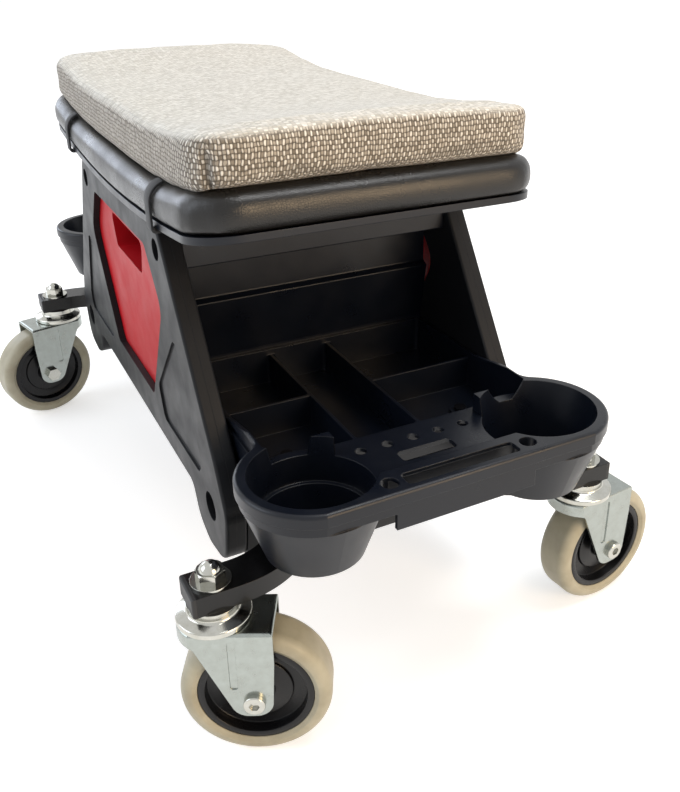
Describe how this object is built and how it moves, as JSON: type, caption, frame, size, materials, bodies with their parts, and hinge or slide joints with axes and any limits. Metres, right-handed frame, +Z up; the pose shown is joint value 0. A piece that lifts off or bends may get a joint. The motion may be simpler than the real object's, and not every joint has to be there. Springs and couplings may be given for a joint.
{
  "type": "rolling creeper seat",
  "caption": "Rolling workshop creeper seat with a padded saddle, side grips, tool trays at both ends and swivel casters.",
  "frame": {"origin": "on the floor, under the middle of the seat", "axes": "+X along the seat towards the front tray, +Y across the seat to the right-hand side, +Z up"},
  "size_m": [0.69, 0.4488, 0.402],
  "materials": {
    "panel_plastic": "textured satin black moulding",
    "tray_plastic": "satin black moulding",
    "red_plastic": "satin red moulding",
    "plug_plastic": "satin black moulding",
    "black_paint": "gloss black powder coat on steel",
    "board_plastic": "satin black",
    "pad_skin": "black integral-skin foam with a leather grain",
    "elastic": "black woven elastic",
    "cushion_fabric": "light grey-beige basket weave",
    "bright_zinc": "bright zinc plate",
    "fork_zinc": "zinc plate on pressed steel",
    "black_oxide": "black oxide",
    "hub_plastic": "black moulding",
    "grey_tread": "grey-beige thermoplastic rubber"
  },
  "bodies": {
    "frame": {"arm_front": "black_paint", "arm_plugs": "plug_plastic", "arm_rear": "black_paint", "bulkhead_front": "panel_plastic", "bulkhead_rear": "panel_plastic", "cap_nuts": "bright_zinc", "caster_race_front_left": "bright_zinc", "caster_race_front_right": "bright_zinc", "caster_race_rear_left": "bright_zinc", "caster_race_rear_right": "bright_zinc", "caster_stem_front_left": "bright_zinc", "caster_stem_front_right": "bright_zinc", "caster_stem_rear_left": "bright_zinc", "caster_stem_rear_right": "bright_zinc", "cross_tube_front": "black_paint", "cross_tube_rear": "black_paint", "cushion": "cushion_fabric", "cushion_strap_front": "elastic", "cushion_strap_rear": "elastic", "grip_insert_left": "red_plastic", "grip_insert_right": "red_plastic", "panel_bolts": "black_oxide", "seat_board": "board_plastic", "seat_pad": "pad_skin", "seat_screws": "black_oxide", "side_panel_inner_left": "panel_plastic", "side_panel_inner_right": "panel_plastic", "side_panel_outer_left": "panel_plastic", "side_panel_outer_right": "panel_plastic", "stem_washers": "bright_zinc", "tie_plate_front": "black_paint", "tie_plate_rear": "black_paint", "tray_front": "tray_plastic", "tray_rear": "tray_plastic", "tray_screws": "tray_plastic"},
    "swivel_front_left": {"caster_fork_front_left": "fork_zinc", "wheel_axle_front_left": "bright_zinc", "wheel_bush_front_left": "bright_zinc"},
    "wheel_front_left": {"wheel_hub_front_left": "hub_plastic", "wheel_tyre_front_left": "grey_tread"},
    "swivel_front_right": {"caster_fork_front_right": "fork_zinc", "wheel_axle_front_right": "bright_zinc", "wheel_bush_front_right": "bright_zinc"},
    "wheel_front_right": {"wheel_hub_front_right": "hub_plastic", "wheel_tyre_front_right": "grey_tread"},
    "swivel_rear_left": {"caster_fork_rear_left": "fork_zinc", "wheel_axle_rear_left": "bright_zinc", "wheel_bush_rear_left": "bright_zinc"},
    "wheel_rear_left": {"wheel_hub_rear_left": "hub_plastic", "wheel_tyre_rear_left": "grey_tread"},
    "swivel_rear_right": {"caster_fork_rear_right": "fork_zinc", "wheel_axle_rear_right": "bright_zinc", "wheel_bush_rear_right": "bright_zinc"},
    "wheel_rear_right": {"wheel_hub_rear_right": "hub_plastic", "wheel_tyre_rear_right": "grey_tread"}
  },
  "joints": [
    {"name": "swivel_front_left", "type": "hinge", "parent": "frame", "child": "swivel_front_left", "pos_m": [0.2798, -0.1494, 0.11], "axis": [0, 0, 1], "continuous": true},
    {"name": "roll_front_left", "type": "hinge", "parent": "swivel_front_left", "child": "wheel_front_left", "pos_m": [0.2913, -0.12731, 0.05], "axis": [-0.887, 0.4617, 0], "continuous": true},
    {"name": "swivel_front_right", "type": "hinge", "parent": "frame", "child": "swivel_front_right", "pos_m": [0.2798, 0.1494, 0.11], "axis": [0, 0, 1], "continuous": true},
    {"name": "roll_front_right", "type": "hinge", "parent": "swivel_front_right", "child": "wheel_front_right", "pos_m": [0.27759, 0.1742, 0.05], "axis": [-0.996, -0.0889, 0], "continuous": true},
    {"name": "swivel_rear_left", "type": "hinge", "parent": "frame", "child": "swivel_rear_left", "pos_m": [-0.2798, -0.1494, 0.11], "axis": [0, 0, 1], "continuous": true},
    {"name": "roll_rear_left", "type": "hinge", "parent": "swivel_rear_left", "child": "wheel_rear_left", "pos_m": [-0.27378, -0.17356, 0.05], "axis": [0.9703, 0.2419, 0], "continuous": true},
    {"name": "swivel_rear_right", "type": "hinge", "parent": "frame", "child": "swivel_rear_right", "pos_m": [-0.2798, 0.1494, 0.11], "axis": [0, 0, 1], "continuous": true},
    {"name": "roll_rear_right", "type": "hinge", "parent": "swivel_rear_right", "child": "wheel_rear_right", "pos_m": [-0.29444, 0.16955, 0.05], "axis": [-0.809, -0.5878, 0], "continuous": true}
  ]
}
